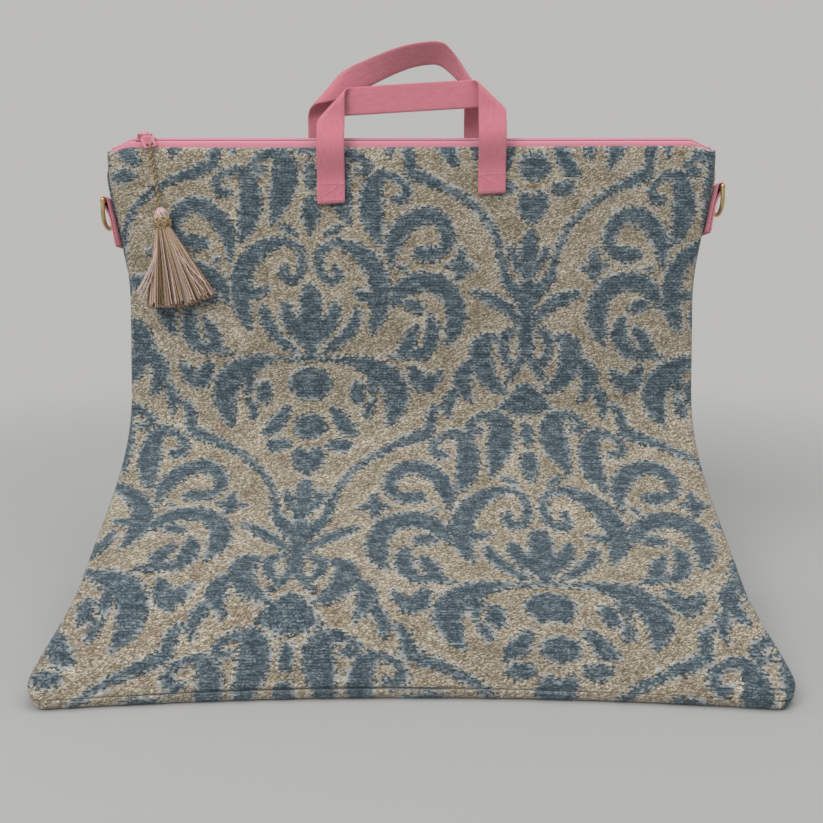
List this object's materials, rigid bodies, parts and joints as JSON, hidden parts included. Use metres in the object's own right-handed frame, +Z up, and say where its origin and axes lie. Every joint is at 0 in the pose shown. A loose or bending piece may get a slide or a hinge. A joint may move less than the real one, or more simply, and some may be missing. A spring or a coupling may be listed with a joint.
{
  "type": "knitting project bag",
  "caption": "Soft zip-top project bag of damask cloth on a stiff base, with webbing handles, side tabs with D-rings and a tassel on the zip pull; it holds yarn and needles.",
  "frame": {"origin": "middle of the base on the surface the bag stands on", "axes": "+X along the zip to the right, +Y from the slumped front to the back, +Z up"},
  "size_m": [0.4574, 0.2476, 0.4024],
  "materials": {
    "damask": "chenille damask weave",
    "lining": "plain woven cotton",
    "zip_tape": "woven tape",
    "zip_coil": "moulded coil",
    "zip_metal": "satin enamel",
    "webbing": "woven cotton webbing",
    "ring_brass": "polished plating",
    "thread_gold": "twisted thread",
    "thread_rose": "loose thread"
  },
  "bodies": {
    "bag": {"front_panel": "damask", "back_panel": "damask", "base_panel": "damask", "left_gusset": "damask", "right_gusset": "damask", "lining": "lining", "zip_tape_front": "zip_tape", "zip_tape_back": "zip_tape", "zip_coil_front": "zip_coil", "zip_coil_back": "zip_coil", "front_handle": "webbing", "back_handle": "webbing", "left_ring_tab": "webbing", "right_ring_tab": "webbing"},
    "slider": {"zip_slider": "zip_metal"},
    "pull": {"zip_pull": "zip_metal"},
    "loop": {"tassel_loop": "thread_gold"},
    "tassel": {"tassel_cord": "thread_gold", "tassel_head": "thread_rose", "tassel_knot": "thread_gold", "tassel_skirt": "thread_rose"},
    "left_ring": {"left_d_ring": "ring_brass"},
    "right_ring": {"right_d_ring": "ring_brass"}
  },
  "joints": [
    {"name": "zip_slide", "type": "slide", "parent": "bag", "child": "slider", "axis": [1, 0, 0], "range_m": [0, 0.392], "deforming": ["tassel_cord"]},
    {"name": "pull_flip", "type": "hinge", "parent": "slider", "child": "pull", "pos_m": [-0.196, 0.12902, 0.3349], "axis": [-1, 0, 0], "range_deg": [0, 90]},
    {"name": "loop_hang", "type": "hinge", "parent": "pull", "child": "loop", "pos_m": [-0.18913, 0.11774, 0.32543], "axis": [-1, 0, 0], "range_deg": [-90, 0]},
    {"name": "tassel_sway", "type": "hinge", "parent": "loop", "child": "tassel", "pos_m": [-0.18913, 0.11774, 0.32543], "axis": [0, -0.9858, 0.1679], "range_deg": [-25, 30]},
    {"name": "left_ring_swing", "type": "hinge", "parent": "bag", "child": "left_ring", "pos_m": [-0.22444, 0.12462, 0.286], "axis": [0.0266, 0.9889, -0.1461], "range_deg": [0, 150]},
    {"name": "right_ring_swing", "type": "hinge", "parent": "bag", "child": "right_ring", "pos_m": [0.22604, 0.12612, 0.296], "axis": [0.0236, -0.9889, 0.1466], "range_deg": [0, 150]}
  ],
  "couplings": [
    {"joint": "loop_hang", "follows": "pull_flip", "ratio": -1}
  ]
}
